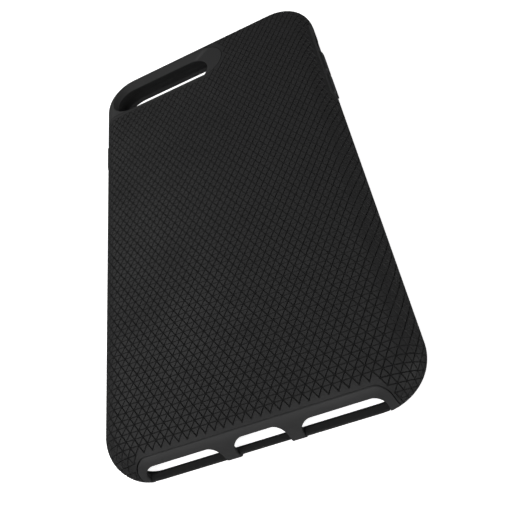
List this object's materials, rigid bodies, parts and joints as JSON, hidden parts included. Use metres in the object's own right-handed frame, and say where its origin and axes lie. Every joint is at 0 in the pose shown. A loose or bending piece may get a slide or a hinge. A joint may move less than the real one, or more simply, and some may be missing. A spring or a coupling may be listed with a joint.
{
  "type": "phone case",
  "caption": "Layered phone case: textured hard shell over a soft sleeve, with flush smooth covers, sprung side keys and open camera, switch, speaker and charging places.",
  "frame": {"origin": "middle of the case on the plane that the front lip lies on, with the case face-down", "axes": "+X towards the side with the volume keys, +Y towards the camera end, +Z out of the back"},
  "size_m": [0.0826, 0.1614, 0.0102],
  "materials": {
    "sleeve": "matt soft black",
    "shell": "matt black with a raised triangle grip texture",
    "cover": "smooth satin charcoal",
    "key": "smooth satin black"
  },
  "bodies": {
    "case": {"inner_sleeve": "sleeve", "grip_shell": "shell", "camera_surround": "cover", "port_cover": "cover", "right_key_cover": "cover", "left_key_cover": "cover"},
    "volume_up": {"volume_up_key": "key"},
    "volume_down": {"volume_down_key": "key"},
    "power": {"power_key": "key"}
  },
  "joints": [
    {"name": "volume_up_press", "type": "slide", "parent": "case", "child": "volume_up", "axis": [-1, 0, 0], "range_m": [0, 0.0005], "stiffness_N_per_m": 1500},
    {"name": "volume_down_press", "type": "slide", "parent": "case", "child": "volume_down", "axis": [-1, 0, 0], "range_m": [0, 0.0005], "stiffness_N_per_m": 1500},
    {"name": "power_press", "type": "slide", "parent": "case", "child": "power", "axis": [1, 0, 0], "range_m": [0, 0.0005], "stiffness_N_per_m": 1500}
  ]
}
